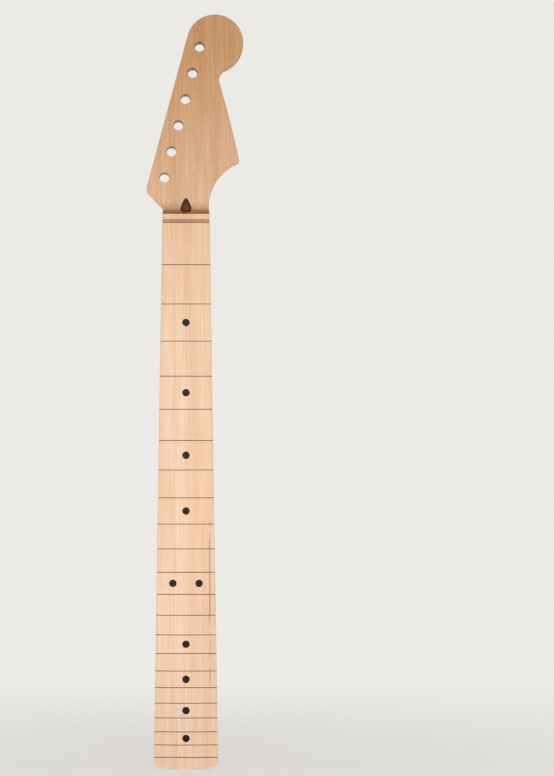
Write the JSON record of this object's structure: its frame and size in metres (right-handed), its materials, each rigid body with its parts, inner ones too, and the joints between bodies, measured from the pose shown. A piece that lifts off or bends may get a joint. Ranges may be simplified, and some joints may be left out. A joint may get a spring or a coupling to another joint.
{
  "type": "electric guitar neck",
  "caption": "Bolt-on electric guitar neck with a slotted, dotted maple fingerboard, an in-line drilled headstock and a truss rod adjusted at the heel.",
  "frame": {"origin": "on the flat back of the heel, at the centre of its four screw holes", "axes": "+Z from the heel to the headstock, -Y out of the fingerboard, +Y out of the back, -X towards the tuner side"},
  "size_m": [0.0848, 0.0254, 0.6604],
  "materials": {
    "neck_maple": "sanded bare maple, not lacquered",
    "board_maple": "sanded bare maple, not lacquered",
    "walnut": "sanded bare walnut",
    "black_inlay": "sanded flush black inlay",
    "steel": "turned steel, dulled"
  },
  "bodies": {
    "neck_body": {"neck": "neck_maple", "fingerboard": "board_maple", "back_stripe": "walnut", "headstock_plug": "walnut", "face_dot_3": "black_inlay", "face_dot_5": "black_inlay", "face_dot_7": "black_inlay", "face_dot_9": "black_inlay", "face_dot_12_bass": "black_inlay", "face_dot_12_treble": "black_inlay", "face_dot_15": "black_inlay", "face_dot_17": "black_inlay", "face_dot_19": "black_inlay", "face_dot_21": "black_inlay", "side_dot_3": "black_inlay", "side_dot_5": "black_inlay", "side_dot_7": "black_inlay", "side_dot_9": "black_inlay", "side_dot_12_upper": "black_inlay", "side_dot_12_lower": "black_inlay", "side_dot_15": "black_inlay", "side_dot_17": "black_inlay", "side_dot_19": "black_inlay", "side_dot_21": "black_inlay", "truss_rod": "steel", "rod_anchor": "steel", "rod_barrel": "steel", "truss_washer": "steel"},
    "truss_nut_body": {"truss_nut": "steel"}
  },
  "joints": [
    {"name": "truss_nut_turn", "type": "hinge", "parent": "neck_body", "child": "truss_nut_body", "pos_m": [0, -0.01105, -0.035], "axis": [0, 0, 1], "range_deg": [-360, 360]}
  ]
}
